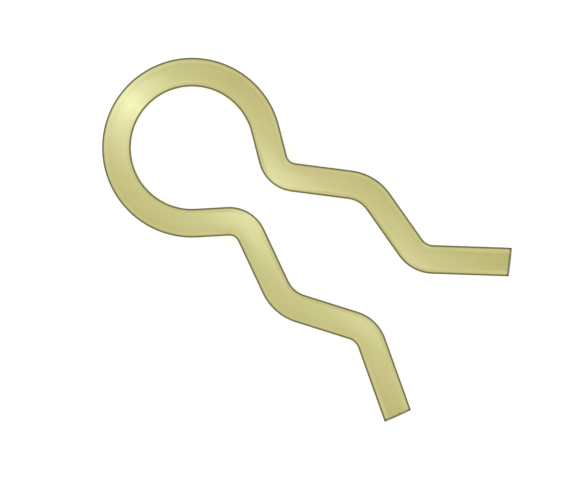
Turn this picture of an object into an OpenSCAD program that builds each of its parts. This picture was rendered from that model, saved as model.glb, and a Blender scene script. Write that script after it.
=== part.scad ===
// R clip for a hitch pin: one length of round spring wire, bent into a large loop
// and two equal waved legs that grip a round shaft between them.
// Lengths are in millimetres and angles in degrees. The clip lies flat, with the
// middle of its wire at Z = 0. X runs from the loop to the open end, Y from one leg
// to the other, and the origin is the centre of the shaft that the legs hold.

/* [Wire] */
// Diameter of the wire
wire_d = 4; // [3:0.1:5]

/* [Loop] */
// Inside diameter of the loop
loop_inner_d = 17; // [14:0.1:24]
// Slope at which each leg leaves the loop, inwards
neck_angle = 39.5; // [34:0.5:46]

/* [Throat] */
// Gap between the legs at the throat, between the loop and the shaft
throat_gap = 5.1; // [3:0.1:9]
// Inside radius of the throat bends
throat_bend_r = 1.35; // [1:0.05:3]

/* [Seat] */
// Widest gap between the legs, where the shaft sits
seat_gap = 15; // [13:0.1:19]
// Slope of the legs from the throat out to the seat
seat_angle = 28.8; // [22:0.2:36]
// Inside radius of the seat bends
seat_bend_r = 3.7; // [2:0.05:6]

/* [Catch] */
// Gap between the legs at the catch, between the shaft and the tails
catch_gap = 9; // [7:0.1:11]
// Slope of the legs from the seat in to the catch
catch_angle = 18.7; // [15:0.1:26]
// Inside radius of the catch bends
catch_bend_r = 1.9; // [1:0.05:4]

/* [Tails] */
// Slope of the flared tails
tail_angle = 34.2; // [20:0.2:45]
// Straight length of each tail along its middle, up to its cut end
tail_length = 10.8; // [6:0.1:20]
// How far each cut leans from square, so that the outer side is the longer one
cut_angle = 4.5; // [0:0.5:15]
// Chamfer round the edge of each cut end
end_chamfer = 0.15; // [0.05:0.05:0.6]

/* [Hidden] */
$fn = 48;

spring_wire_color = [0.78, 0.74, 0.48];

// Radii to the middle of the wire
loop_r = (loop_inner_d + wire_d) / 2;
throat_r = throat_bend_r + wire_d / 2;
seat_r = seat_bend_r + wire_d / 2;
catch_r = catch_bend_r + wire_d / 2;

// How far the middle of each leg lies from the clip's centre line
throat_y = (throat_gap + wire_d) / 2;
seat_y = (seat_gap + wire_d) / 2;
catch_y = (catch_gap + wire_d) / 2;

// How far a bend moves sideways while it turns away from the centre line's direction
function bend_rise(radius, angle) = radius * (1 - cos(angle));

// Straight runs between the bends, long enough to reach each gap
neck_run = (loop_r * cos(neck_angle) - throat_y - bend_rise(throat_r, neck_angle))
    / sin(neck_angle);
seat_run = (seat_y - throat_y - bend_rise(throat_r + seat_r, seat_angle)) / sin(seat_angle);
catch_run = (seat_y - catch_y - bend_rise(seat_r + catch_r, catch_angle)) / sin(catch_angle);

// Stations of the throat and the catch along X, from the loop's centre
throat_x = (loop_r + throat_r) * sin(neck_angle) + neck_run * cos(neck_angle);
catch_x = throat_x + (throat_r + seat_r) * sin(seat_angle) + seat_run * cos(seat_angle)
    + (seat_r + catch_r) * sin(catch_angle) + catch_run * cos(catch_angle);

// Distance from the middle of each straight side of the seat to the clip's centre line,
// square to that side, at the throat and at the catch. Both grow towards the shaft, which
// touches all four sides, so its centre is where they are equal.
throat_reach = (throat_y + throat_r) * cos(seat_angle) - throat_r;
catch_reach = (catch_y + catch_r) * cos(catch_angle) - catch_r;
shaft_x = (throat_x * sin(seat_angle) + catch_x * sin(catch_angle) + catch_reach - throat_reach)
    / (sin(seat_angle) + sin(catch_angle));

// Bends stand a hair proud of the straight runs, which end a little inside them, so that
// each run's end is held whole in a bend's flat face
bend_step = 0.01;
run_lap = 0.05;
run_d = wire_d - 2 * bend_step;

// Straight length of wire along X, with what follows it placed at its far end
module run(length) {
    translate([-run_lap, 0, 0])
        rotate([0, 90, 0])
            cylinder(h = length + 2 * run_lap, d = run_d);
    translate([length, 0, 0]) children();
}

// Wire that turns in the XY plane, left for a positive angle and right for a
// negative one, with what follows it placed at its far end
module bend(angle, radius) {
    centre_y = sign(angle) * radius;
    translate([0, centre_y, 0])
        rotate(-90 * sign(angle))
            rotate_extrude(angle = angle)
                translate([radius, 0])
                    circle(d = wire_d);
    translate([0, centre_y, 0])
        rotate(angle)
            translate([0, -centre_y, 0])
                children();
}

// Last straight length. A wide cone that lies along the wire and leans with the cut
// leaves its flat tip as the cut face, and its 45 degree side as the chamfer.
module tail() {
    blank_length = run_lap + tail_length + wire_d;
    cone_length = tail_length + 2 * wire_d;
    cut_d = run_d - 2 * end_chamfer;
    intersection() {
        translate([-run_lap, 0, 0])
            rotate([0, 90, 0])
                cylinder(h = blank_length, d = run_d);
        translate([tail_length, 0, 0])
            rotate([0, -90, -cut_angle])
                cylinder(h = cone_length, d1 = cut_d, d2 = cut_d + 2 * cone_length);
    }
}

// One waved leg, from the end of the loop to its tail
module leg() {
    rotate(90 - neck_angle)
        translate([loop_r, 0, 0])
            rotate(-90)
                run(neck_run)
                bend(neck_angle + seat_angle, throat_r)
                run(seat_run)
                bend(-seat_angle - catch_angle, seat_r)
                run(catch_run)
                bend(catch_angle + tail_angle, catch_r)
                tail();
}

// Loop, open towards the legs
module loop() {
    rotate(90 - neck_angle)
        rotate_extrude(angle = 180 + 2 * neck_angle)
            translate([loop_r, 0])
                circle(d = wire_d);
}

module r_clip() {
    color(spring_wire_color)
        translate([-shaft_x, 0, 0]) {
            loop();
            leg();
            mirror([0, 1, 0]) leg();
        }
}

r_clip();
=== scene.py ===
import math

import bpy
import numpy as np
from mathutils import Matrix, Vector


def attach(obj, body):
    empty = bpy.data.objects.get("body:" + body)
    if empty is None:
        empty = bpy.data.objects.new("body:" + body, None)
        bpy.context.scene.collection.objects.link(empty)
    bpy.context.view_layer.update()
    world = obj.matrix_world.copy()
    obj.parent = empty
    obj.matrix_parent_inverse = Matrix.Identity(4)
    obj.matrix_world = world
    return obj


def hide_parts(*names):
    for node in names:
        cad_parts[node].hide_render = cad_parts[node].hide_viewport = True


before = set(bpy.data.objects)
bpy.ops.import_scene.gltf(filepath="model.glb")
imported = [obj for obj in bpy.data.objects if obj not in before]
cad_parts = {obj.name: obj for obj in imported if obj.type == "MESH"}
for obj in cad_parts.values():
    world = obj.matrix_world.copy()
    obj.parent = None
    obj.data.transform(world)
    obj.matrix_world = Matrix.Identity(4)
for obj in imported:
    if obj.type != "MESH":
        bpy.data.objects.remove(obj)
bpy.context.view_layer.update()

# R clip for a hitch pin: one length of round spring wire with a yellow zinc finish, bent into
# a loop and two equal waved legs. Everything is in metres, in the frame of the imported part:
# X from the loop to the open end, Y from leg to leg, the origin in the middle of the shaft seat.

MM = 0.001

# ---- Sizes of the wire form, the same named values that the part is built from ----

# The radii and the Y values are those of the wire's middle line. A Y is how far a leg lies from the
# X axis there, and every angle but the cut's is the slope of a run.
WIRE_R = 2.0 * MM
LOOP_R = 10.5 * MM
THROAT_R = 3.35 * MM
SEAT_R = 5.7 * MM
CATCH_R = 3.9 * MM
THROAT_Y = 4.55 * MM
SEAT_Y = 9.5 * MM
CATCH_Y = 6.5 * MM
NECK_ANGLE = math.radians(39.5)
SEAT_ANGLE = math.radians(28.8)
CATCH_ANGLE = math.radians(18.7)
TAIL_ANGLE = math.radians(34.2)
TAIL_LENGTH = 10.8 * MM
CUT_ANGLE = math.radians(4.5)


def bend_rise(radius, angle):
    """How far a bend moves the wire sideways as it turns through this angle."""
    return radius * (1 - math.cos(angle))


# What follows from them: the lengths of the runs between the bends, and how far along X the throat
# and the catch lie from the loop's middle. A reach is how far the run on the seat's side passes from
# that place on the X axis, and the shaft lies where both runs are equally far from its middle.
NECK_RUN = (
    LOOP_R * math.cos(NECK_ANGLE) - THROAT_Y - bend_rise(THROAT_R, NECK_ANGLE)
) / math.sin(NECK_ANGLE)
SEAT_RUN = (SEAT_Y - THROAT_Y - bend_rise(THROAT_R + SEAT_R, SEAT_ANGLE)) / math.sin(SEAT_ANGLE)
CATCH_RUN = (SEAT_Y - CATCH_Y - bend_rise(SEAT_R + CATCH_R, CATCH_ANGLE)) / math.sin(CATCH_ANGLE)
THROAT_X = (LOOP_R + THROAT_R) * math.sin(NECK_ANGLE) + NECK_RUN * math.cos(NECK_ANGLE)
CATCH_X = (
    THROAT_X
    + (THROAT_R + SEAT_R) * math.sin(SEAT_ANGLE)
    + SEAT_RUN * math.cos(SEAT_ANGLE)
    + (SEAT_R + CATCH_R) * math.sin(CATCH_ANGLE)
    + CATCH_RUN * math.cos(CATCH_ANGLE)
)
THROAT_REACH = (THROAT_Y + THROAT_R) * math.cos(SEAT_ANGLE) - THROAT_R
CATCH_REACH = (CATCH_Y + CATCH_R) * math.cos(CATCH_ANGLE) - CATCH_R
SHAFT_X = (
    THROAT_X * math.sin(SEAT_ANGLE) + CATCH_X * math.sin(CATCH_ANGLE) + CATCH_REACH - THROAT_REACH
) / (math.sin(SEAT_ANGLE) + math.sin(CATCH_ANGLE))

# The last stretch is bent this much too long, and the cut then takes it off
BLANK_FROM_CUT = 0.6 * MM

# The bends and runs of one half of the clip, from the far side of the loop to the cut end:
# what it is, its turn in radians (left is positive) or its length, its radius, and its steps
LOOP_STEPS = 56
HALF_CLIP = [
    ("bend", -(math.pi / 2 + NECK_ANGLE), LOOP_R, LOOP_STEPS),
    ("run", NECK_RUN, None, 8),
    ("bend", NECK_ANGLE + SEAT_ANGLE, THROAT_R, 26),
    ("run", SEAT_RUN, None, 14),
    ("bend", -(SEAT_ANGLE + CATCH_ANGLE), SEAT_R, 20),
    ("run", CATCH_RUN, None, 14),
    ("bend", CATCH_ANGLE + TAIL_ANGLE, CATCH_R, 22),
    ("run", TAIL_LENGTH - BLANK_FROM_CUT, None, 17),
    ("run", 2 * BLANK_FROM_CUT, None, 1),
]
SIDES = 48

# Closer than this is the same point, and nearer than this to 1 is the same way
SAME_POINT = 0.01 * MM
SAME_WAY = 0.99

# The length over which the stretch of the surface sets in where a run meets a bend
BEND_EASE = 2.4 * MM
EASE_STEPS = 11

# The cut ends: the rounding of their edge, and the rings of faces on them. The shear leaves a
# smooth land on the blade's side, down to LAND_LOW, and a grainy break that is at its deepest
# below BREAK_LOW and fades out over BREAK_FADE next to the edge.
EDGE_ROUND = 0.10 * MM
CUT_RING = 0.14 * MM
CUT_RINGS = 12
LAND_LOW = 0.5 * MM
BREAK_LOW = 0.1 * MM
BREAK_FADE = 0.35 * MM
BREAK_DEPTH = 0.16 * MM
BREAK_GRAIN = 0.45 * MM

# The flat map of the surface: the wire in three strips, one over the other, and its two cut
# faces over them, a little enlarged. The strips part on each side of the loop, at the ring of
# points after this many of its steps.
PARTING_STEP = 53
MAP_SIDE = 45.8 * MM
MAP_GAP = 0.6 * MM
MAP_PARTING = PARTING_STEP / LOOP_STEPS * (math.pi / 2 + NECK_ANGLE) * LOOP_R
MAP_CUT_SCALE = 1.2


# ---- Modelling ----

def edit_mode():
    """Takes the active piece into edit mode."""
    bpy.ops.object.mode_set(mode="EDIT")


def object_mode():
    """Takes it back to object mode."""
    bpy.ops.object.mode_set(mode="OBJECT")


def only(piece):
    """Selects this piece and no other, and makes it the active one."""
    bpy.ops.object.select_all(action="DESELECT")
    piece.select_set(True)
    bpy.context.view_layer.objects.active = piece


def apply_modifier(piece, kind, name, **settings):
    """Adds one modifier to the piece and applies it."""
    only(piece)
    modifier = piece.modifiers.new(name, kind)
    for key, value in settings.items():
        setattr(modifier, key, value)
    bpy.ops.object.modifier_apply(modifier=modifier.name)


def left_of(heading):
    """The way to the left of a heading, which is an angle from +X towards +Y."""
    return Vector((-math.sin(heading), math.cos(heading), 0))


def ahead_of(heading):
    """The way straight ahead on a heading."""
    return Vector((math.cos(heading), math.sin(heading), 0))


def bend_wire(half):
    """Draws the round section through every bend and run. Returns the wire and its middle line, a row
    for each section: x, y, heading, length along the wire, and curvature (left is positive)."""
    bpy.ops.object.select_all(action="DESELECT")
    place = Vector((-SHAFT_X - LOOP_R, 0, 0))
    bpy.ops.mesh.primitive_circle_add(
        vertices=SIDES, radius=WIRE_R, fill_type="NOTHING", calc_uvs=False,
        location=place, rotation=(math.pi / 2, 0, 0),
    )
    wire = bpy.context.object
    wire.name = "clip_wire"
    bpy.ops.object.transform_apply(location=True, rotation=True, scale=True)
    edit_mode()
    bpy.ops.mesh.select_all(action="SELECT")
    heading, station = math.pi / 2, 0.0
    line = [(place.x, place.y, heading, station, -1 / LOOP_R)]
    for kind, amount, radius, steps in half:
        if kind == "run":
            step = ahead_of(heading) * (amount / steps)
            for _ in range(steps):
                bpy.ops.mesh.extrude_region_move(TRANSFORM_OT_translate={"value": step})
                place, station = place + step, station + step.length
                line.append((place.x, place.y, heading, station, 0.0))
            continue
        curve = math.copysign(1 / radius, amount)
        centre = place + left_of(heading) / curve
        bpy.ops.mesh.spin(steps=steps, angle=-amount, center=centre, axis=(0, 0, 1))
        for _ in range(steps):
            heading += amount / steps
            station += abs(amount) / steps * radius
            place = centre - left_of(heading) / curve
            line.append((place.x, place.y, heading, station, curve))
    face_outwards()
    object_mode()
    settle_order(wire)
    return wire, np.array(line)


def face_outwards():
    """Turns every face of the active piece outwards. It is in edit mode."""
    bpy.ops.mesh.select_all(action="SELECT")
    bpy.ops.mesh.normals_make_consistent(inside=False)


def settle_order(piece):
    """Puts the faces in a fixed order, each from its lowest corner on, because the bends leave them in
    an order that changes from run to run."""
    mesh = piece.data
    spot = [point.co.copy() for point in mesh.vertices]
    faces = []
    for face in mesh.polygons:
        corners = list(face.vertices)
        first = corners.index(min(corners))
        faces.append(corners[first:] + corners[:first])
    mesh.clear_geometry()
    mesh.from_pydata(spot, [], sorted(faces))


def cut_end(wire, line):
    """Shears the tail to length on its lean, rounds the sharp edge and divides the cut face into rings.
    Returns the cut's middle and the way it faces."""
    heading = line[-1][2]
    middle = Vector((line[-1][0], line[-1][1], 0)) - ahead_of(heading) * BLANK_FROM_CUT
    cut_way = ahead_of(heading - CUT_ANGLE)
    edit_mode()
    bpy.ops.mesh.select_all(action="SELECT")
    bpy.ops.mesh.bisect(plane_co=middle, plane_no=cut_way, use_fill=True, clear_outer=True)
    select_faces(wire, lambda face: face.normal.dot(cut_way) > SAME_WAY and len(face.vertices) > 4)
    bpy.ops.mesh.region_to_loop()
    bpy.ops.mesh.bevel(offset=EDGE_ROUND, segments=3, affect="EDGES", clamp_overlap=True)
    select_faces(wire, lambda face: len(face.vertices) > 4)
    for _ in range(CUT_RINGS):
        bpy.ops.mesh.inset(thickness=CUT_RING, depth=0)
    bpy.ops.mesh.poke()
    object_mode()
    return middle, cut_way


def select_faces(piece, wanted):
    """Selects the faces that the test picks, in edit mode."""
    object_mode()
    piece.data.vertices.foreach_set("select", np.zeros(len(piece.data.vertices), bool))
    piece.data.edges.foreach_set("select", np.zeros(len(piece.data.edges), bool))
    piece.data.polygons.foreach_set("select", [bool(wanted(face)) for face in piece.data.polygons])
    edit_mode()
    bpy.ops.mesh.select_mode(type="FACE")


def make_wire():
    """Bends one half of the clip, shears its end, and mirrors it to the other half."""
    wire, line = bend_wire(HALF_CLIP)
    middle, cut_way = cut_end(wire, line)
    apply_modifier(
        wire, "MIRROR", "other_half", use_axis=(False, True, False), merge_threshold=SAME_POINT,
    )
    edit_mode()
    face_outwards()
    object_mode()
    from_cut, from_middle = cut_distances(wire, middle, cut_way)
    station, across = wire_coordinates(wire, line)
    put(wire.data, "from_cut", "FLOAT", "value", from_cut)
    mark_cut_faces(wire, from_cut, from_middle)
    unroll(wire, station, across)
    break_cut_faces(wire, from_cut, from_middle)
    only(wire)
    bpy.ops.object.shade_smooth()
    return wire


def spots(mesh):
    """Where the mesh's points are, a row for each."""
    spot = np.empty(len(mesh.vertices) * 3, np.float32)
    mesh.vertices.foreach_get("co", spot)
    return spot.reshape(-1, 3).astype(float)


def cut_distances(wire, middle, cut_way):
    """How far each point lies behind the cut at its end of the wire, and how far from the tail's middle."""
    spot = spots(wire.data)
    spot[:, 1] = np.abs(spot[:, 1])
    away = spot - np.array(middle)
    ahead = away @ np.array(cut_way)
    return -ahead, np.linalg.norm(away - np.outer(ahead, np.array(cut_way)), axis=1)


def on_cut_face(from_cut, from_middle):
    """Which points lie on the flat of a cut end."""
    return (np.abs(from_cut) < 0.1 * SAME_POINT) & (from_middle < WIRE_R)


def mark_cut_faces(wire, from_cut, from_middle):
    """Gives the flat of each cut end the second material slot."""
    inner = on_cut_face(from_cut, from_middle)
    flat = [all(inner[corner] for corner in face.vertices) for face in wire.data.polygons]
    wire.data.polygons.foreach_set("material_index", np.array(flat, np.int32))


def break_cut_faces(wire, from_cut, from_middle):
    """Breaks up the part of each cut end that tore instead of being sheared."""
    height = spots(wire.data)[:, 2]
    inward = np.clip((WIRE_R - EDGE_ROUND - from_middle) / BREAK_FADE, 0, 1)
    below = np.clip((LAND_LOW - height) / (LAND_LOW - BREAK_LOW), 0, 1)
    torn = wire.vertex_groups.new(name="torn")
    for index in np.flatnonzero(on_cut_face(from_cut, from_middle)):
        torn.add([int(index)], float(inward[index] * below[index]), "REPLACE")
    grain = bpy.data.textures.new("break_grain", "CLOUDS")
    grain.noise_scale = BREAK_GRAIN
    grain.noise_depth = 3
    apply_modifier(
        wire, "DISPLACE", "torn_face", texture=grain, texture_coords="LOCAL",
        vertex_group="torn", strength=BREAK_DEPTH, mid_level=0.75,
    )
    wire.vertex_groups.clear()


def eased_bending(line):
    """The middle line's curvature, as a running mean over BEND_EASE, so that no bend starts at once."""
    station = line[:, 3]
    around = station[:, None] + np.linspace(-0.5, 0.5, EASE_STEPS) * BEND_EASE
    return np.interp(around, station, line[:, 4]).mean(1)


def wire_coordinates(wire, line):
    """Gives each point its place on the straightened wire: how far along it, how far to the side and how
    high, and how sharply the wire is stretched or pressed there. Returns the first two."""
    mesh = wire.data
    spot = spots(mesh)
    half = np.where(spot[:, 1] < -SAME_POINT, -1.0, 1.0)
    flat = np.stack([spot[:, 0], np.abs(spot[:, 1])], 1)
    near = np.array([np.argmin(((line[:, :2] - p) ** 2).sum(1)) for p in flat])
    rows = line[near]
    away = flat - rows[:, :2]
    ahead = np.stack([np.cos(rows[:, 2]), np.sin(rows[:, 2])], 1)
    left = np.stack([-ahead[:, 1], ahead[:, 0]], 1)
    station = (rows[:, 3] + (away * ahead).sum(1)) * half
    across = (away * left).sum(1)
    put(mesh, "along_wire", "FLOAT_VECTOR", "vector", np.stack([station, across, spot[:, 2]], 1))
    put(mesh, "stretch", "FLOAT", "value", -across * eased_bending(line)[near])
    return station, across


def face_corners(mesh):
    """For each corner of each face: its point, its face, and where its face's corners start."""
    point = np.empty(len(mesh.loops), np.int32)
    start = np.empty(len(mesh.polygons), np.int32)
    count = np.empty(len(mesh.polygons), np.int32)
    mesh.loops.foreach_get("vertex_index", point)
    mesh.polygons.foreach_get("loop_start", start)
    mesh.polygons.foreach_get("loop_total", count)
    return point, np.repeat(np.arange(len(count)), count), start


def share_of_girth(height, across, corners):
    """How far round the wire each corner is from the seam along the underside, from 0 to 1."""
    point, face, start = corners
    girth = (0.75 - np.arctan2(height, across) / (2 * math.pi)) % 1.0
    # A point just short of the full round is on the seam
    girth = np.where(girth > 0.9995, 0, girth)[point]
    # In a face of the last quarter, a corner on the seam ends the round instead of starting it
    widest = np.maximum.reduceat(girth, start)[face]
    return np.where((widest > 0.75) & (girth < 0.25), girth + 1, girth)


def unroll(wire, station, across):
    """Lays the surface out flat: each strip has the wire's length one way and its girth the other, with
    the seam along the underside. The rounded edges join the strips, and each cut face lies by itself."""
    mesh = wire.data
    height = spots(mesh)[:, 2]
    point, face, start = corners = face_corners(mesh)
    slot = np.empty(len(mesh.polygons), np.int32)
    mesh.polygons.foreach_get("material_index", slot)
    on_cut = slot[face] == 1

    # Along the wire, with the rounded edges opened out, and the strip that each face is on
    inward = WIRE_R - np.hypot(across, height)
    along = (station + np.where(np.abs(station) > MAP_PARTING, inward, 0) * np.sign(station))[point]
    middle = (np.add.reduceat(along, start) / np.bincount(face))[face]
    strip = np.digitize(middle, [-MAP_PARTING, MAP_PARTING])
    begins = np.array([station.min(), -MAP_PARTING, MAP_PARTING])[strip]

    round_wire = 2 * math.pi * WIRE_R
    u = along - begins + MAP_GAP
    v = strip * (round_wire + MAP_GAP) + MAP_GAP + share_of_girth(height, across, corners) * round_wire
    cut_place = MAP_GAP + WIRE_R * MAP_CUT_SCALE
    end = np.where(middle > 0, 1, -1)
    cut_u = (2 + end) * cut_place + end * across[point] * MAP_CUT_SCALE
    cut_v = 3 * (round_wire + MAP_GAP) + cut_place + height[point] * MAP_CUT_SCALE
    spread = np.stack([np.where(on_cut, cut_u, u), np.where(on_cut, cut_v, v)], 1) / MAP_SIDE
    layer = mesh.uv_layers.new(name="OFBake")
    layer.uv.foreach_set("vector", spread.astype(np.float32).ravel())


def put(mesh, name, kind, field, values):
    """Keeps a value for each point, for the finishes to read."""
    layer = mesh.attributes.new(name, kind, "POINT")
    layer.data.foreach_set(field, values.astype(np.float32).ravel())


# ---- Finishes ----

# The plating on the wire and on its sheared ends
PLATING = (0.522, 0.478, 0.183, 1)
PLATING_GREENER = (0.493, 0.475, 0.170, 1)
PLATING_REDDER = (0.546, 0.467, 0.196, 1)
PLATING_DARK = (0.35, 0.33, 0.12, 1)
PLATING_THIN = (0.50, 0.48, 0.27, 1)
PLATING_BURNISHED = (0.74, 0.69, 0.33, 1)
# Dark colour for the pits, scores and dents of the cut ends, and painted shade: the dark band painted along
# each cut edge in place of the rim's shade
DARK_MARKS_AND_PAINTED_RIM = (0.225, 0.222, 0.112, 1)
SHEARED = (0.37, 0.35, 0.18, 1)
GRAZING_TINT = (0.35, 0.35, 0.3, 1)

# The part of a noise's range that holds nearly all of its values
NOISE_SPAN = (0.3, 0.7)

# The marks on the wire: the die's coarse and fine lines (width, length), the barrel's dents and
# the film's patches. A dent's reach is a share of the spacing, and each kind of patch starts and
# is full at the given values of the noise.
COARSE_LINE = (0.34 * MM, 22 * MM)
FINE_LINE = (0.11 * MM, 7 * MM)
DENT_SPACING = 1.1 * MM
DENT_REACH = (0.10, 0.30)
FILM_PATCH = 5 * MM
GREENER_AT = (0.52, 0.68)
REDDER_AT = (0.50, 0.34)
WIRE_RELIEF = 0.008 * MM

# How sharp a bend is where the surface starts to change and where it has changed fully: the
# wire's radius over the bend's, below 0 where the bend pressed the surface
BEND_PRESSED = (-0.25, -0.45)
BEND_STRETCHED = (0.1, 0.6)

# Roughness between the fine die lines and on them, and what the bends and the painted dark band at the cut
# add to it
WIRE_GLOSS = (0.11, 0.15)
STRETCHED_DULLER = 0.05
PRESSED_DULLER = -0.03
PAINTED_RIM_DULLER = 0.2

# The dark band along the cut, painted shade that stands in for the wire's dark rim there: how far it
# reaches, how softly it ends and its waver
PAINTED_RIM_REACH = (0.32 * MM, 0.40 * MM)
PAINTED_RIM_SOFT = 0.06 * MM
PAINTED_RIM_WAVER = 0.5 * MM

# The cut face: the blade's score lines (width, length), its dents and patches, the pits of the
# break and its ragged top, and the roughness of the land and of the break
SCORE_LINE = (0.07 * MM, 2 * MM)
END_DENT_SPACING = 0.6 * MM
END_PATCH = 1.2 * MM
PIT_SIZE = 0.12 * MM
PITTED_AT = (0.55, 0.35)
RAGGED_TOP = 0.3 * MM
TOP_SOFT = 0.2 * MM
END_GLOSS = (0.2, 0.38)
END_RELIEF = 0.03 * MM


def node(tree, kind, **settings):
    """Places a node with these settings."""
    made = tree.nodes.new(kind)
    for key, value in settings.items():
        setattr(made, key, value)
    return made


def feed(tree, source, target):
    """Joins an output to an input, or puts a plain value on the input."""
    if hasattr(source, "is_output"):
        tree.links.new(source, target)
    else:
        target.default_value = source


def math_node(tree, operation, *values):
    """The result of a sum on these outputs or plain values."""
    made = node(tree, "ShaderNodeMath", operation=operation)
    for value, socket in zip(values, made.inputs):
        feed(tree, value, socket)
    return made.outputs[0]


def times(tree, first, second):
    """The first multiplied by the second."""
    return math_node(tree, "MULTIPLY", first, second)


def plus(tree, first, second):
    """The first and the second added up."""
    return math_node(tree, "ADD", first, second)


def mix_colour(tree, share, first, second):
    """The first colour with this share of the second. The share may go past 1."""
    made = node(tree, "ShaderNodeMix", data_type="RGBA", clamp_factor=False)
    for value, name in ((share, 0), (first, 6), (second, 7)):
        feed(tree, value, made.inputs[name])
    return made.outputs[2]


def rise(tree, value, low, high, out_low=0.0, out_high=1.0, kind="SMOOTHSTEP"):
    """Goes softly from out_low to out_high as the value goes from low to high."""
    made = node(tree, "ShaderNodeMapRange", interpolation_type=kind)
    for source, socket in zip((value, low, high, out_low, out_high), made.inputs):
        feed(tree, source, socket)
    return made.outputs[0]


def ramp(tree, value, low, high, out_low=0.0, out_high=1.0):
    """As rise does, but in a straight line."""
    return rise(tree, value, low, high, out_low, out_high, kind="LINEAR")


def noise(tree, vector, detail=2.0, roughness=0.5):
    """Noise with one bump to each unit of the vector, about 0.5 in the mean."""
    made = node(tree, "ShaderNodeTexNoise")
    feed(tree, vector, made.inputs["Vector"])
    for name, value in (("Scale", 1.0), ("Detail", detail), ("Roughness", roughness)):
        feed(tree, value, made.inputs[name])
    return made.outputs["Fac"]


def split_axes(tree, vector):
    """The vector's outputs X, Y and Z."""
    made = node(tree, "ShaderNodeSeparateXYZ")
    feed(tree, vector, made.inputs[0])
    return made.outputs


def group(name, inputs, outputs):
    """An empty node group with these inputs (name, kind, value) and outputs (name, kind). Returns its
    tree, what it is given and what it puts out."""
    tree = bpy.data.node_groups.new(name, "ShaderNodeTree")
    for label, kind, value in inputs:
        socket = tree.interface.new_socket(label, in_out="INPUT", socket_type="NodeSocket" + kind)
        if value is not None:
            socket.default_value = value
    for label, kind in outputs:
        tree.interface.new_socket(label, in_out="OUTPUT", socket_type="NodeSocket" + kind)
    return tree, tree.nodes.new("NodeGroupInput").outputs, tree.nodes.new("NodeGroupOutput").inputs


def use_group(tree, made, **values):
    """Places a group with its own values, and returns its outputs."""
    placed = node(tree, "ShaderNodeGroup", node_tree=made)
    for label, value in values.items():
        feed(tree, value, placed.inputs[label.replace("_", " ")])
    return placed.outputs


def stretched(tree, along, length, width):
    """The wire's own coordinates, scaled so that a pattern comes out with this length and width."""
    scale = node(tree, "ShaderNodeCombineXYZ")
    for size, socket in zip((length, width, width), scale.inputs):
        feed(tree, math_node(tree, "DIVIDE", 1.0, size), socket)
    made = node(tree, "ShaderNodeVectorMath", operation="MULTIPLY")
    feed(tree, along, made.inputs[0])
    feed(tree, scale.outputs[0], made.inputs[1])
    return made.outputs[0]


def die_lines_group():
    """Fine lines that the drawing die leaves along the wire."""
    tree, given, put_out = group(
        "die_lines",
        [("Along", "Vector", None), ("Line width", "Float", 0.2 * MM), ("Line length", "Float", 12 * MM)],
        [("Lines", "Float")],
    )
    place = stretched(tree, given["Along"], given["Line length"], given["Line width"])
    lines = noise(tree, place, roughness=0.6)
    feed(tree, rise(tree, lines, *NOISE_SPAN), put_out["Lines"])
    return tree


def film_group():
    """Yellow passivation film, a little greener in some patches and a little redder in others."""
    tree, given, put_out = group(
        "passivation_film",
        [
            ("Along", "Vector", None), ("Patch size", "Float", 6 * MM), ("Film", "Color", None),
            ("Green film", "Color", None), ("Red film", "Color", None), ("Amount", "Float", 0.5),
        ],
        [("Color", "Color")],
    )
    place = stretched(tree, given["Along"], given["Patch size"], given["Patch size"])
    patches = noise(tree, place, detail=3.0, roughness=0.55)
    green = times(tree, rise(tree, patches, *GREENER_AT), given["Amount"])
    red = times(tree, rise(tree, patches, *REDDER_AT), given["Amount"])
    colour = mix_colour(tree, green, given["Film"], given["Green film"])
    feed(tree, mix_colour(tree, red, colour, given["Red film"]), put_out["Color"])
    return tree


def barrel_marks_group():
    """Small scattered dents, from parts that tumbled on each other in the plating barrel."""
    tree, given, put_out = group(
        "barrel_marks",
        [("Along", "Vector", None), ("Spacing", "Float", 1.2 * MM), ("Share", "Float", 0.3)],
        [("Marks", "Float")],
    )
    place = stretched(tree, given["Along"], given["Spacing"], given["Spacing"])
    wander = node(tree, "ShaderNodeTexVoronoi", feature="F1")
    feed(tree, place, wander.inputs["Vector"])
    feed(tree, 1.0, wander.inputs["Scale"])
    pick = node(tree, "ShaderNodeSeparateColor")
    feed(tree, wander.outputs["Color"], pick.inputs[0])
    chosen = math_node(tree, "LESS_THAN", pick.outputs[0], given["Share"])
    reach = rise(tree, pick.outputs[1], 0.0, 1.0, *DENT_REACH)
    dent = rise(tree, wander.outputs["Distance"], reach, 0.0)
    feed(tree, times(tree, dent, chosen), put_out["Marks"])
    return tree


def material(name):
    """A new material, its node tree and its shader."""
    made = bpy.data.materials.new(name)
    made.use_nodes = True
    tree = made.node_tree
    return made, tree, tree.nodes["Principled BSDF"]


def attribute(tree, name, output):
    """Reads a value that put keeps for each point."""
    return node(tree, "ShaderNodeAttribute", attribute_name=name).outputs[output]


def darken(tree, colour, marks, mark_colour):
    """Lays marks over a colour, each with its own share of the mark colour."""
    for mark, share in marks:
        colour = mix_colour(tree, times(tree, mark, share), colour, mark_colour)
    return colour


def relief(tree, shader, height, strength, depth):
    """Bumps as high as the height says, up to this depth."""
    bump = node(tree, "ShaderNodeBump")
    bump.inputs["Strength"].default_value = strength
    bump.inputs["Distance"].default_value = depth
    feed(tree, height, bump.inputs["Height"])
    feed(tree, bump.outputs[0], shader.inputs["Normal"])


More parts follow.
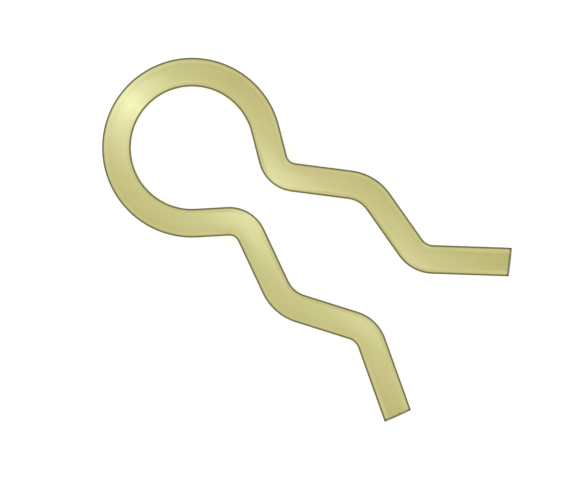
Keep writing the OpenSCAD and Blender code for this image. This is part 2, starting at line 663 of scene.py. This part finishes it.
def plated_wire_finish(die_lines, film, barrel_marks):
    """Drawn spring wire, zinc plated and passivated yellow. A dark band is painted along the cut edges as
    shade for the rim there. The plating lies duller where a bend stretched the wire, and is burnished where
    a bend pressed it."""
    made, tree, shader = material("plated_spring_wire")
    along = attribute(tree, "along_wire", "Vector")
    stretch = attribute(tree, "stretch", "Fac")
    coarse, fine = (
        use_group(tree, die_lines, Along=along, Line_width=width, Line_length=length)["Lines"]
        for width, length in (COARSE_LINE, FINE_LINE)
    )
    dents = use_group(tree, barrel_marks, Along=along, Spacing=DENT_SPACING, Share=0.30)["Marks"]
    tint = use_group(
        tree, film, Along=along, Patch_size=FILM_PATCH, Film=PLATING, Green_film=PLATING_GREENER,
        Red_film=PLATING_REDDER, Amount=0.5,
    )
    colour = darken(tree, tint["Color"], ((coarse, 0.07), (fine, 0.09), (dents, 0.16)), PLATING_DARK)
    pressed = rise(tree, stretch, *BEND_PRESSED)
    colour = mix_colour(tree, times(tree, pressed, 0.25), colour, PLATING_BURNISHED)
    # Painted shade: a dark band along each cut edge, standing in for the wire's dark rim there
    waver = noise(tree, stretched(tree, along, PAINTED_RIM_WAVER, PAINTED_RIM_WAVER))
    reach = rise(tree, waver, *NOISE_SPAN, *PAINTED_RIM_REACH)
    from_cut = attribute(tree, "from_cut", "Fac")
    painted_rim_shade = rise(tree, from_cut, reach, math_node(tree, "SUBTRACT", reach, PAINTED_RIM_SOFT))
    feed(tree, mix_colour(tree, painted_rim_shade, colour, DARK_MARKS_AND_PAINTED_RIM), shader.inputs["Base Color"])
    shader.inputs["Metallic"].default_value = 1.0
    rough = rise(tree, fine, 0.0, 1.0, *WIRE_GLOSS)
    rough = plus(tree, rough, times(tree, rise(tree, stretch, *BEND_STRETCHED), STRETCHED_DULLER))
    rough = plus(tree, rough, times(tree, pressed, PRESSED_DULLER))
    rough = plus(tree, rough, times(tree, painted_rim_shade, PAINTED_RIM_DULLER))
    feed(tree, rough, shader.inputs["Roughness"])
    shader.inputs["Specular Tint"].default_value = GRAZING_TINT
    height = math_node(tree, "SUBTRACT", times(tree, coarse, 0.5), dents)
    relief(tree, shader, height, 0.5, WIRE_RELIEF)
    return made


def sheared_end_finish(die_lines, film, barrel_marks):
    """The cut ends: a scored smooth land where the blade went through, and a grainy break below it,
    both with a thin and darker plating."""
    made, tree, shader = material("sheared_wire_end")
    along = attribute(tree, "along_wire", "Vector")
    axes = split_axes(tree, along)
    grain = noise(tree, stretched(tree, along, PIT_SIZE, PIT_SIZE), detail=4.0)
    top = plus(tree, axes["Z"], times(tree, grain, RAGGED_TOP))
    torn = rise(tree, top, LAND_LOW + TOP_SOFT, LAND_LOW)
    # The score lines run down the cut face, so its height takes the place of the wire's length
    down = node(tree, "ShaderNodeCombineXYZ")
    for axis, socket in zip("ZYX", down.inputs):
        feed(tree, axes[axis], socket)
    width, length = SCORE_LINE
    scores = use_group(
        tree, die_lines, Along=down.outputs[0], Line_width=width, Line_length=length,
    )["Lines"]
    dents = use_group(tree, barrel_marks, Along=along, Spacing=END_DENT_SPACING, Share=0.4)["Marks"]
    tint = use_group(
        tree, film, Along=along, Patch_size=END_PATCH, Film=SHEARED, Green_film=PLATING_THIN,
        Red_film=DARK_MARKS_AND_PAINTED_RIM, Amount=0.5,
    )
    pitted = mix_colour(tree, rise(tree, grain, *PITTED_AT), tint["Color"], DARK_MARKS_AND_PAINTED_RIM)
    scored = darken(tree, tint["Color"], ((scores, 0.35),), DARK_MARKS_AND_PAINTED_RIM)
    colour = mix_colour(tree, torn, scored, pitted)
    feed(tree, darken(tree, colour, ((dents, 0.3),), DARK_MARKS_AND_PAINTED_RIM), shader.inputs["Base Color"])
    shader.inputs["Metallic"].default_value = 1.0
    feed(tree, rise(tree, torn, 0.0, 1.0, *END_GLOSS), shader.inputs["Roughness"])
    height = plus(tree, times(tree, grain, torn), times(tree, scores, 0.12))
    relief(tree, shader, height, 0.8, END_RELIEF)
    return made


# ---- Studio ----

# The camera: the width of its view in pixels and their scale, the place in the middle of the view,
# how far it is turned about Z, its lens and sensor in mm, and how near and far it sees
VIEW_WIDTH = 570
PIXELS_PER_MM = 7.1971
VIEW_MIDDLE = Vector((-5.855, -2.738, 0)) * MM
VIEW_TURN = math.radians(36.14)
LENS = 600.0
SENSOR = 36.0
VIEW_NEAR = 0.01
VIEW_FAR = 10.0

# The floor: its side, the gap under the clip, its colour, and the even light that it gives off, so
# that it comes out nearly white with a faint contact shadow
FLOOR_SIZE = 4.0
FLOOR_GAP = 0.005 * MM
FLOOR_COLOUR = (0.86, 0.86, 0.86, 1)
FLOOR_ROUGH = 0.9
FLOOR_LIGHT = 0.42
WHITE = (1, 1, 1, 1)

# The tent: its wall ends at TABLE_EDGE below the horizon (as the height of the way out), softly
# over TABLE_BLUR. Under it is a darker table, brighter straight below than at its edge.
TABLE_EDGE = -0.565
TABLE_BLUR = 0.12
TABLE_LIGHT = 0.4
TABLE_MIDDLE = 0.62
TABLE_COLOUR = (0.98, 1.04, 1.42, 1)
WALL_LIGHT = 1.05

# The glow: extra light that is full on the clip's middle line and falls off to each side, as the
# sum of a wide, a narrow and a crest share with a reach each
GLOW_SHARES = (0.5, 0.44, 0.09)
GLOW_REACHES = (14.8 * MM, 14.8 * MM / 2, 2.5 * MM)

# The glow's panel, over the clip. There it falls off sooner on the +Y side, by GLOW_LEAN.
GLOW_COLOUR = (0.56, 0.68, 1.27, 1)
GLOW_LEAN = 1.12
PANEL_SIZE = (130 * MM, 100 * MM)
PANEL_X = -8 * MM
PANEL_HEIGHT = 2.1 * MM
PANEL_SPREAD = math.radians(168)

# The glow on the tent's wall, where WALL_REACH turns the way out into a distance from the middle
# line. It has a stronger crest there, and fades out upwards, where the panel takes over.
WALL_COLOUR = (0.55, 0.64, 1.20, 1)
WALL_GLOW = 1.1
WALL_CREST = 0.25
WALL_REACH = 9.0 * MM
WALL_FADE = (0.01, 0.41)

# The lamps between the legs: where along X they start, are brightest and end at the throat and at
# the catch, how bright, and the height where they fade out at the bottom and at the top
THROAT_LAMP = (-18 * MM, -12 * MM, -1.5 * MM, 0.6)
CATCH_LAMP = (3 * MM, 10 * MM, 17 * MM, 0.24)
LAMP_LOW = (-1.3 * MM, -0.5 * MM)
LAMP_HIGH = (2.6 * MM, 1.5 * MM)


def camera():
    """Looks straight down on the clip, through a long lens, with the clip's open end to the lower right."""
    data = bpy.data.cameras.new("camera")
    data.lens = LENS
    data.sensor_width = SENSOR
    data.clip_start = VIEW_NEAR
    data.clip_end = VIEW_FAR
    made = bpy.data.objects.new("camera", data)
    width = VIEW_WIDTH / PIXELS_PER_MM * MM
    made.location = VIEW_MIDDLE + Vector((0, 0, width * LENS / SENSOR))
    made.rotation_euler = (0, 0, VIEW_TURN)
    bpy.context.scene.collection.objects.link(made)
    bpy.context.scene.camera = made


def floor():
    """A plain pale floor just under the clip."""
    bpy.ops.object.select_all(action="DESELECT")
    bpy.ops.mesh.primitive_plane_add(size=FLOOR_SIZE, location=(0, 0, -WIRE_R - FLOOR_GAP))
    made = bpy.context.object
    made.name = "floor"
    bpy.ops.object.transform_apply(location=True, rotation=True, scale=True)
    finish, _, shader = material("pale_floor")
    shader.inputs["Base Color"].default_value = FLOOR_COLOUR
    shader.inputs["Roughness"].default_value = FLOOR_ROUGH
    shader.inputs["Emission Color"].default_value = WHITE
    shader.inputs["Emission Strength"].default_value = FLOOR_LIGHT
    made.data.materials.append(finish)
    made.visible_glossy = False


def glow(tree, off, crest_share):
    """How much brighter the light is at a distance from the clip's middle line."""
    wide, narrow, crest = (
        ramp(tree, off, 0.0, reach, share, 0.0)
        for reach, share in zip(GLOW_REACHES, (*GLOW_SHARES[:2], crest_share))
    )
    return plus(tree, plus(tree, wide, narrow), crest)


def sky():
    """A soft bright tent all round, down past the horizon, with a darker table under it and a
    brighter panel in the wall at each end of the clip."""
    world = bpy.data.worlds.new("light_tent")
    world.use_nodes = True
    bpy.context.scene.world = world
    tree = world.node_tree
    background = tree.nodes["Background"]
    axes = split_axes(tree, node(tree, "ShaderNodeTexCoord").outputs["Generated"])
    height = axes["Z"]
    above_table = rise(tree, height, TABLE_EDGE - TABLE_BLUR, TABLE_EDGE + TABLE_BLUR)

    # How bright: the table up to its edge, and the tent from there to its top
    table = ramp(tree, height, -1.0, TABLE_EDGE, TABLE_MIDDLE, TABLE_LIGHT)
    roof = ramp(tree, height, TABLE_EDGE, 1.0, WALL_LIGHT, 1.0)
    tent = node(tree, "ShaderNodeMix", data_type="FLOAT")
    for source, name in ((above_table, 0), (table, 2), (roof, 3)):
        feed(tree, source, tent.inputs[name])
    feed(tree, tent.outputs[0], background.inputs["Strength"])

    # Which colour: the table's, or white with the wall's glow added
    below_roof = rise(tree, height, *WALL_FADE, 1.0, 0.0)
    aside = math_node(tree, "ABSOLUTE", times(tree, axes["Y"], WALL_REACH))
    wall = times(tree, above_table, below_roof)
    wall = times(tree, wall, glow(tree, aside, GLOW_SHARES[2] + WALL_CREST))
    wall = times(tree, wall, WALL_GLOW)
    lit = [white + extra for white, extra in zip(WHITE, (*WALL_COLOUR[:3], 0))]
    colour = mix_colour(tree, wall, WHITE, lit)
    colour = mix_colour(tree, above_table, TABLE_COLOUR, colour)
    feed(tree, colour, background.inputs["Color"])


def gloss_lamp(name, size_x, size_y, place, turn=0.0):
    """A flat lamp of brightness 1 that shows only in the gloss. Returns its light data."""
    data = bpy.data.lights.new(name, "AREA")
    data.shape = "RECTANGLE"
    data.size, data.size_y = size_x, size_y
    data.energy = 4 * size_x * size_y
    data.use_shadow = False
    data.use_nodes = True
    made = bpy.data.objects.new(name, data)
    made.location = place
    made.rotation_euler = (turn, 0, 0)
    made.visible_camera = False
    made.visible_diffuse = False
    made.visible_transmission = False
    bpy.context.scene.collection.objects.link(made)
    return data


def softbox():
    """A panel just over the clip, brightest along the clip's middle."""
    size_x, size_y = PANEL_SIZE
    data = gloss_lamp("softbox", size_x, size_y, (PANEL_X, 0, PANEL_HEIGHT))
    data.spread = PANEL_SPREAD
    tree = data.node_tree
    axes = split_axes(tree, node(tree, "ShaderNodeNewGeometry").outputs["Parametric"])
    off = times(tree, math_node(tree, "SUBTRACT", axes["Y"], 0.5), size_y)
    off = math_node(tree, "MAXIMUM", times(tree, off, GLOW_LEAN), times(tree, off, -1.0))
    emission = tree.nodes["Emission"]
    feed(tree, glow(tree, off, GLOW_SHARES[2]), emission.inputs["Strength"])
    emission.inputs["Color"].default_value = GLOW_COLOUR


def peak(tree, value, low, top, high, most):
    """Rises from nothing at one place to the most at the next, and falls to nothing at the third."""
    up = ramp(tree, value, low, top, 0.0, most)
    down = ramp(tree, value, high, top, 0.0, most)
    return math_node(tree, "MINIMUM", up, down)


def middle_lamps():
    """A thin upright lamp between the legs, facing each leg, for the inner sides of the bends."""
    low, high = THROAT_LAMP[0], CATCH_LAMP[2]
    bottom, top = LAMP_LOW[0], LAMP_HIGH[0]
    place = ((low + high) / 2, 0, (bottom + top) / 2)
    for name, turn in (("left_lamp", math.pi / 2), ("right_lamp", -math.pi / 2)):
        data = gloss_lamp(name, high - low, top - bottom, place, turn)
        tree = data.node_tree
        axes = split_axes(tree, node(tree, "ShaderNodeNewGeometry").outputs["Position"])
        at_throat, at_catch = (peak(tree, axes["X"], *lamp) for lamp in (THROAT_LAMP, CATCH_LAMP))
        bright = plus(tree, at_throat, at_catch)
        for fade in (LAMP_LOW, LAMP_HIGH):
            bright = times(tree, bright, rise(tree, axes["Z"], *fade))
        emission = tree.nodes["Emission"]
        feed(tree, bright, emission.inputs["Strength"])
        emission.inputs["Color"].default_value = WALL_COLOUR


# ---- The clip and its studio ----

wire = make_wire()
die_lines, film, barrel_marks = die_lines_group(), film_group(), barrel_marks_group()
wire.data.materials.append(plated_wire_finish(die_lines, film, barrel_marks))
wire.data.materials.append(sheared_end_finish(die_lines, film, barrel_marks))
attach(wire, "root")
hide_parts("r_clip")
wire.visible_glossy = False

floor()
sky()
softbox()
middle_lamps()
camera()
bpy.context.scene.view_settings.view_transform = "Standard"
